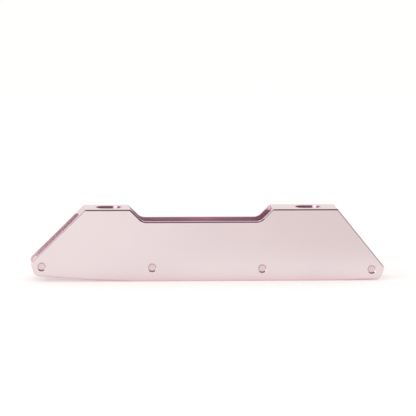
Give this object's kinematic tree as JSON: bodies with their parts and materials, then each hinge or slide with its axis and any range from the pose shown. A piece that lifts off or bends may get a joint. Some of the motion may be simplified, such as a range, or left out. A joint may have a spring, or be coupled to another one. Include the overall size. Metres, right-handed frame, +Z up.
{
  "type": "inline skate frame",
  "caption": "One-piece inline skate frame with raised, slotted boot platforms, sloped open ends and removable axle bolts across a wheel channel.",
  "frame": {"origin": "on the base, half way along the frame and between the two side walls", "axes": "+X along the frame from toe to heel, +Y across it towards the axle heads, +Z up from the base to the boot platforms"},
  "size_m": [0.2952, 0.034, 0.0602],
  "materials": {
    "body": "satin pink anodised",
    "axle": "bright turned, pale pink anodised",
    "insert": "satin steel",
    "pellet": "matt nylon"
  },
  "bodies": {
    "frame": {"frame_body": "body", "front_thread_insert": "insert", "second_thread_insert": "insert", "third_thread_insert": "insert", "rear_thread_insert": "insert"},
    "front_axle_bolt": {"front_axle": "axle", "front_lock_pellet": "pellet"},
    "second_axle_bolt": {"second_axle": "axle", "second_lock_pellet": "pellet"},
    "third_axle_bolt": {"third_axle": "axle", "third_lock_pellet": "pellet"},
    "rear_axle_bolt": {"rear_axle": "axle", "rear_lock_pellet": "pellet"}
  },
  "joints": [
    {"name": "front_axle_draw", "type": "slide", "parent": "frame", "child": "front_axle_bolt", "axis": [0, 1, 0], "range_m": [0, 0.04]},
    {"name": "second_axle_draw", "type": "slide", "parent": "frame", "child": "second_axle_bolt", "axis": [0, 1, 0], "range_m": [0, 0.04]},
    {"name": "third_axle_draw", "type": "slide", "parent": "frame", "child": "third_axle_bolt", "axis": [0, 1, 0], "range_m": [0, 0.04]},
    {"name": "rear_axle_draw", "type": "slide", "parent": "frame", "child": "rear_axle_bolt", "axis": [0, 1, 0], "range_m": [0, 0.04]}
  ]
}
